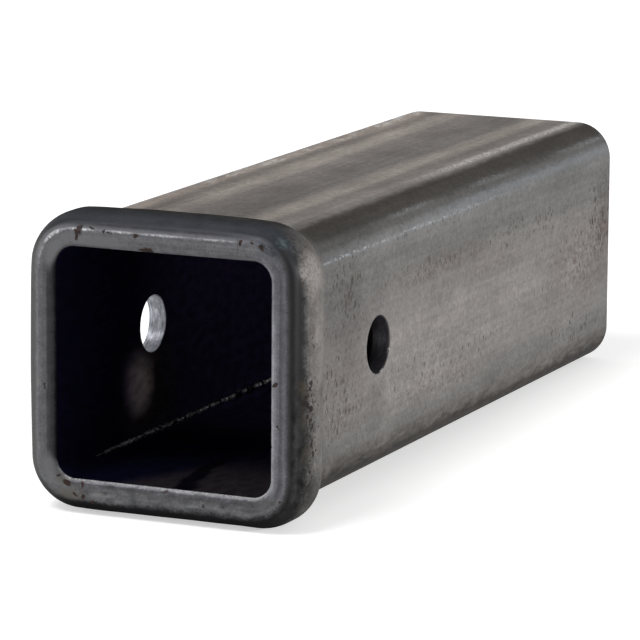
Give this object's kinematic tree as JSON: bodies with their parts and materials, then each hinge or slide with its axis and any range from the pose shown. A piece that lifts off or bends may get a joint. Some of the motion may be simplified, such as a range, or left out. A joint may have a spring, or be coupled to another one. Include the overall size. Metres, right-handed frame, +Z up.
{
  "type": "hitch receiver tube",
  "caption": "Square weld-on hitch receiver tube with a rounded collar round its mouth and a cross pin hole through both side walls, in bare mill-finish steel.",
  "frame": {"origin": "centre of the square mouth, in the plane of the collar's flat front face", "axes": "+Y down the tube to its open rear end, +X along the cross pin hole, +Z up"},
  "size_m": [0.085, 0.248, 0.085],
  "materials": {
    "mill_steel": "bare mill-scaled steel, worn"
  },
  "bodies": {
    "root": {"receiver_tube": "mill_steel"}
  },
  "joints": []
}
